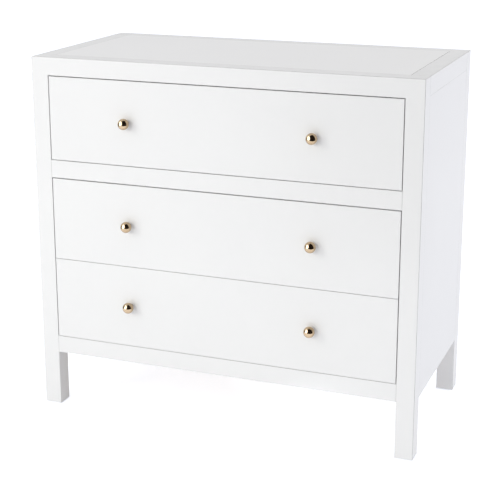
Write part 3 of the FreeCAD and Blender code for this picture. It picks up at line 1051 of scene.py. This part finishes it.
@dataclass
class Slide:
    """One telescopic slide: three sheet members, two ball cages and the screws."""

    drawer: str
    hand: Hand
    gauge: float = 1.2 * MM
    bend: float = 2.0 * MM
    race: float = 3.0 * MM
    play: float = 0.1 * MM
    lip: float = 3.8 * MM
    cage_length: float = 150 * MM
    cage_gauge: float = 0.5 * MM
    cage_width: float = 5.0 * MM
    ball_pitch: float = 10.0 * MM
    ball_faces: tuple[int, int] = (8, 6)
    end_margin: float = 12.0 * MM
    cabinet_screws: Point = (0.12, 0.5, 0.86)
    runner_screws: Point = (0.1, 0.42, 0.88)

    def node(self, member: str) -> str:
        """The node name of one of the slide's members."""
        return f"{self.drawer}_drawer_{self.hand.word}_{member}"

    def build(self) -> None:
        """Make the members, the cages and the screws."""
        moving = f"{self.drawer}_drawer"
        carriers = f"{self.drawer}_carriers"
        self.member("cabinet_slide", "cabinet", lipped=True)
        self.member("slide_carrier", carriers, lipped=True)
        self.member("slide_runner", moving, lipped=False)
        self.cage("cabinet_slide", "slide_carrier", rear=True)
        self.cage("slide_carrier", "slide_runner", rear=False)
        self.screws()

    def member(self, name: str, body: str, lipped: bool) -> None:
        """Bend one member from sheet.

        Args:
            name: The member's part of the node name.
            body: The body that carries it.
            lipped: Whether its flanges point at the drawer and end in turned lips.
                Plain flanges point away from the drawer.
        """
        low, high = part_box(self.node(name))
        sense = -self.hand.value if lipped else self.hand.value
        web, tip = (low.x, high.x) if sense > 0 else (high.x, low.x)
        half_gauge = self.gauge / 2
        web += sense * half_gauge
        if lipped:
            tip -= sense * half_gauge
        top, foot = high.z - half_gauge, low.z + half_gauge
        line = [(tip, top), (web, top), (web, foot), (tip, foot)]
        if lipped:
            turned = self.lip - half_gauge
            line = [(tip, top - turned), *line, (tip, foot + turned)]
        shape = Shape().sheet_channel(line, high.y - low.y, self.gauge, self.bend)
        shape.moved(Matrix.Translation((0, low.y, 0)))
        self.centre_on(shape, low, high)
        shape.piece(
            f"{self.drawer}_{self.hand.word}_{name}", SLIDE_ZINC, body, "slide_steel",
            (self.node(name),), crease=TURNED_CREASE,
        )

    @staticmethod
    def centre_on(shape: Shape, low: Vector, high: Vector) -> None:
        """Move a shape across and up to the middle of a node.

        Args:
            shape: The shape.
            low: The lowest corner of the node's box.
            high: The highest corner of the node's box.
        """
        xs = [vertex.co.x for vertex in shape.mesh.verts]
        zs = [vertex.co.z for vertex in shape.mesh.verts]
        across = (low.x + high.x) / 2 - (min(xs) + max(xs)) / 2
        up = (low.z + high.z) / 2 - (min(zs) + max(zs)) / 2
        shape.moved(Matrix.Translation((across, 0, up)))

    def cage(self, outer: str, inner: str, rear: bool) -> None:
        """Make the ball cages above and below the inner of two members.

        Args:
            outer: The member outside the balls.
            inner: The member inside the balls.
            rear: Whether the cages lie in the rear half of the middle member.
        """
        outer_low, outer_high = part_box(self.node(outer))
        inner_low, inner_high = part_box(self.node(inner))
        across = (max(outer_low.x, inner_low.x) + min(outer_high.x, inner_high.x)) / 2
        if rear:
            first = inner_high.y - self.end_margin - self.cage_length
        else:
            first = inner_low.y + self.end_margin
        balls, strips = Shape(), Shape()
        radius = self.race / 2 - self.play
        count = int(self.cage_length / self.ball_pitch)
        margin = (self.cage_length - (count - 1) * self.ball_pitch) / 2
        half_width, half_gauge = self.cage_width / 2, self.cage_gauge / 2
        for height in (inner_high.z + self.race / 2, inner_low.z - self.race / 2):
            strips.box(
                (across - half_width, first, height - half_gauge),
                (across + half_width, first + self.cage_length, height + half_gauge),
            )
            for number in range(count):
                along = first + margin + number * self.ball_pitch
                balls.ball((across, along, height), radius, *self.ball_faces)
        carriers = f"{self.drawer}_carriers"
        place = "outer" if rear else "inner"
        label = f"{self.drawer}_{self.hand.word}_{place}"
        strips.piece(f"{label}_ball_cages", SLIDE_ZINC, carriers, "slide_steel")
        balls.piece(f"{label}_balls", BALL_STEEL, carriers, "slide_steel", crease=BALL_CREASE)

    def screws(self) -> None:
        """The screws of the cabinet member and of the drawer member."""
        inward = -self.hand.value
        label = f"{self.drawer}_{self.hand.word}"
        self.screw_row(FLAT_SCREW, "cabinet_slide", inward, self.cabinet_screws).piece(
            f"{label}_cabinet_slide_screws", SCREW_ZINC, "cabinet", "slide_steel"
        )
        self.screw_row(PAN_SCREW, "slide_runner", -inward, self.runner_screws).piece(
            f"{label}_runner_screws", SCREW_ZINC, f"{self.drawer}_drawer", "slide_steel"
        )

    def screw_row(
        self, screw: CrossHeadScrew, member: str, faces: int, shares: Iterable[float]
    ) -> Shape:
        """Set screws along the web of one member.

        Args:
            screw: The screw.
            member: The member's part of the node name.
            faces: The way that the heads point along X, 1 or -1.
            shares: Where they sit, as shares of the member's length.

        Returns:
            The heads in one shape.
        """
        low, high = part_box(self.node(member))
        web = low.x if faces > 0 else high.x
        face = web + faces * self.gauge
        middle = (low.z + high.z) / 2
        turn = Matrix.Rotation(math.radians(90 * faces), 4, "Y")
        return screw.shape().copies(
            Matrix.Translation((face, low.y + share * (high.y - low.y), middle)) @ turn
            for share in shares
        )


@dataclass
class Drawer:
    """One drawer: its front, its dovetailed box and its fixings."""

    name: str
    fixing_inset: float = 70 * MM
    fixing_rise: float = 38 * MM
    fixing_drop: float = 28 * MM

    def build(self) -> None:
        """Dress the boards and add the knobs, slides and screws."""
        body = f"{self.name}_drawer"
        dress_node(f"{body}_front", FRONT_LACQUER)
        for board in ("box_front", "box_back"):
            dress_node(f"{body}_{board}", BIRCH_ACROSS)
        for hand in Hand:
            dress_node(f"{body}_{hand.word}_side", BIRCH_DEEP)
        dress_node(f"{body}_bottom", BOTTOM_VENEER)
        Knobs(self.name).build()
        for hand in Hand:
            Slide(self.name, hand).build()
        self.screws()

    def screws(self) -> None:
        """The screws that hold the front and the knobs, seen inside the drawer."""
        body = f"{self.name}_drawer"
        low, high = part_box(f"{body}_box_front")
        knob_low, knob_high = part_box(f"{body}_knobs")
        ball = (knob_high.z - knob_low.z) / 2
        fixings = (low.x + self.fixing_inset, high.x - self.fixing_inset)
        rows = (low.z + self.fixing_rise, high.z - self.fixing_drop)
        knobs = (knob_low.x + ball, knob_high.x - ball)
        for name, screw, xs, zs in (
            ("front", FIXING_SCREW, fixings, rows),
            ("knob", TRUSS_SCREW, knobs, (knob_low.z + ball,)),
        ):
            heads = screw.shape().copies(facing(1, (x, high.y, z)) for x in xs for z in zs)
            heads.piece(f"{self.name}_{name}_screws", SCREW_ZINC, body, "slide_steel")


@dataclass
class Softbox:
    """A rectangular studio lamp aimed at a point.

    A hidden one shows in no reflection. The spread is the angle of the beam in degrees.
    """

    name: str
    place: Point
    target: Point
    size: tuple[float, float]
    power: float
    colour: Colour = (1.0, 1.0, 1.0)
    hidden: bool = False
    knobs_only: bool = False
    spread: float = 180.0

    def build(self) -> None:
        """Hang the lamp."""
        lamp = bpy.data.lights.new(self.name, "AREA")
        lamp.shape = "RECTANGLE"
        lamp.size, lamp.size_y = self.size
        lamp.energy = self.power
        lamp.color = self.colour
        lamp.spread = math.radians(self.spread)
        hung = bpy.data.objects.new(self.name, lamp)
        bpy.context.scene.collection.objects.link(hung)
        hung.location = self.place
        hung.rotation_euler = aimed(self.place, self.target).to_euler()
        hung.visible_camera = False
        hung.visible_glossy = not self.hidden
        if self.knobs_only:
            lit = bpy.data.collections.new(self.name)
            for piece in bpy.data.objects:
                if piece.name.endswith(KNOB_WORDS):
                    lit.objects.link(piece)
            hung.light_linking.receiver_collection = lit


@dataclass
class Flag:
    """A black card that shows only in reflections."""

    name: str
    place: Point
    target: Point
    size: tuple[float, float]
    colour: Colour = (0.050, 0.042, 0.038)
    shade: Colour = (0.034, 0.028, 0.025)
    weave_scale: float = 300

    def build(self) -> None:
        """Hang the card."""
        wide, high = self.size
        turn = aimed(self.place, self.target).to_matrix().to_4x4()
        shape = Shape()
        bmesh.ops.create_grid(
            shape.mesh, x_segments=1, y_segments=1, size=1,
            matrix=Matrix.Translation(self.place) @ turn
            @ Matrix.Diagonal((wide / 2, high / 2, 1, 1)),
        )
        surface = Surface(self.name, "ShaderNodeBsdfDiffuse")
        surface.set(color=surface.mix(surface.noise(self.weave_scale, 1), self.shade, self.colour))
        card = shape.linked(self.name, surface.material)
        shape.mesh.free()
        card.visible_camera = False
        card.visible_diffuse = False
        card.visible_shadow = False


@dataclass
class Studio:
    """The white studio: floor, surroundings, lamps, black cards and the camera."""

    floor_half: float = 30.0
    floor_colour: Colour = (0.842, 0.862, 0.912)
    floor_shade: Colour = (0.838, 0.858, 0.908)
    floor_grain: float = 40
    floor_lift: float = 0.68
    floor_glow: Colour = (0.955, 0.99, 1.055)
    zenith: Colour = (0.64, 0.643, 0.668)
    horizon: Colour = (0.4715, 0.473, 0.491)
    middle: Point = (0.0, -0.1, 0.42)
    knobs: Point = (0.0, -0.23, 0.49)
    warm: Colour = (1.0, 0.985, 0.9)
    cool: Colour = (0.84, 0.9, 1.0)
    amber: Colour = (1.0, 0.915, 0.79)
    camera_place: Point = (1.024, -2.7013, 1.2587)
    camera_azimuth: float = 20.87
    camera_elevation: float = 14.95
    camera_lens: float = 90.69
    camera_shift: float = -0.09

    def build(self) -> None:
        """Set up everything round the dresser."""
        bpy.context.scene.view_settings.view_transform = "Standard"
        self.surroundings()
        self.floor()
        for thing in (*self.lamps(), *self.flags()):
            thing.build()
        self.camera()

    def seen_directly(self, graph: Graph) -> Value:
        """Tell camera, glossy and transmission rays from the others.

        Args:
            graph: The graph that asks.

        Returns:
            1 for these rays, otherwise 0.
        """
        path = graph.node("ShaderNodeLightPath")
        rays = ("Is Camera Ray", "Is Glossy Ray", "Is Transmission Ray")
        camera, glossy, through = (Value(graph, path.outputs[name]) for name in rays)
        return camera.math("MAXIMUM", camera.math("MAXIMUM", camera, glossy), through)

    def surroundings(self) -> None:
        """White walls whose light on the object grows a little towards the ceiling."""
        world = bpy.data.worlds.new("studio")
        bpy.context.scene.world = world
        world.use_nodes = True
        graph = Graph(world.node_tree)
        up = graph.parts("ShaderNodeTexCoord", "Generated")[UP_AXIS].step(0.0, 0.9)
        light = graph.mix(up, self.horizon, self.zenith)
        colour = graph.mix(self.seen_directly(graph), light, (1.0, 1.0, 1.0))
        back = graph.node("ShaderNodeBackground", None, {"Color": colour, "Strength": 1.0})
        graph.show(back, "ShaderNodeOutputWorld")

    def floor(self) -> None:
        """A plain white floor that keeps the soft shadow of the object."""
        shape = Shape()
        bmesh.ops.create_grid(shape.mesh, x_segments=1, y_segments=1, size=self.floor_half)
        surface = Surface("studio_floor", "ShaderNodeAddShader")
        grain = surface.noise(self.floor_grain, 2)
        colour = surface.mix(grain, self.floor_shade, self.floor_colour)
        diffuse = surface.node("ShaderNodeBsdfDiffuse", None, {"Color": colour})
        lift = self.seen_directly(surface) * self.floor_lift
        inputs = {"Color": self.floor_glow, "Strength": lift}
        glow = surface.node("ShaderNodeEmission", None, inputs)
        for socket, shader in zip(surface.shader.inputs, (diffuse, glow)):
            surface.feed(socket, shader.outputs[0])
        shape.linked("floor", surface.material)
        shape.mesh.free()

    def lamps(self) -> list[Softbox]:
        """The lamps and what they light.

        Returns:
            Two boxes, a wide one for the knobs, and fills below and at the side.
        """
        return [
            Softbox(
                "key_box", (-1.0, -7.36, 2.86), self.middle, (1.6, 1.6), 103.0, self.warm,
                hidden=True,
            ),
            Softbox("strip_box", (-2.0, -2.66, 1.76), self.middle, (0.95, 1.9), 24.0, self.warm),
            Softbox(
                "window_box", (-1.33, -1.81, 1.24), self.knobs, (3.0, 3.0), 80.0, self.cool,
                knobs_only=True,
            ),
            Softbox(
                "floor_fill", (0.0, -1.12, 0.1), (0.0, 0.0, 0.2), (2.2, 0.15), 1.0, self.warm,
                hidden=True,
            ),
            Softbox(
                "under_fill", (0.0, -0.12, 0.07), (0.43, 0.21, 0.06), (0.5, 0.1), 0.15,
                self.cool, hidden=True, spread=60.0,
            ),
            Softbox("side_fill", (3.2, 1.2, 1.6), self.middle, (3.0, 2.6), 21.0, self.amber),
        ]

    def flags(self) -> list[Flag]:
        """The cards that the knobs reflect.

        Returns:
            One in front, one low down and one at the left.
        """
        return [
            Flag("front_flag", (1.08, -1.26, 1.35), self.knobs, (4.4, 6.0)),
            Flag("low_flag", (0.75, -1.15, 0.36), (0.0, -0.23, 0.36), (3.4, 0.7)),
            Flag("left_flag", (-1.5, -0.45, 0.4), self.knobs, (0.7, 1.4)),
        ]

    def camera(self) -> None:
        """The camera, level, looking down on the dresser from the right."""
        lens = bpy.data.cameras.new("camera")
        lens.lens = self.camera_lens
        lens.shift_y = self.camera_shift
        eye = bpy.data.objects.new("camera", lens)
        bpy.context.scene.collection.objects.link(eye)
        eye.location = self.camera_place
        tilt = math.radians(90 - self.camera_elevation)
        eye.rotation_euler = (tilt, 0, math.radians(self.camera_azimuth))
        bpy.context.scene.camera = eye


def main() -> None:
    """Build the looks, piece by piece."""
    logging.basicConfig(level=logging.INFO, format="%(name)s: %(message)s")
    Carcase().build()
    for name in DRAWERS:
        Drawer(name).build()
    Studio().build()


if __name__ == "__main__":
    main()
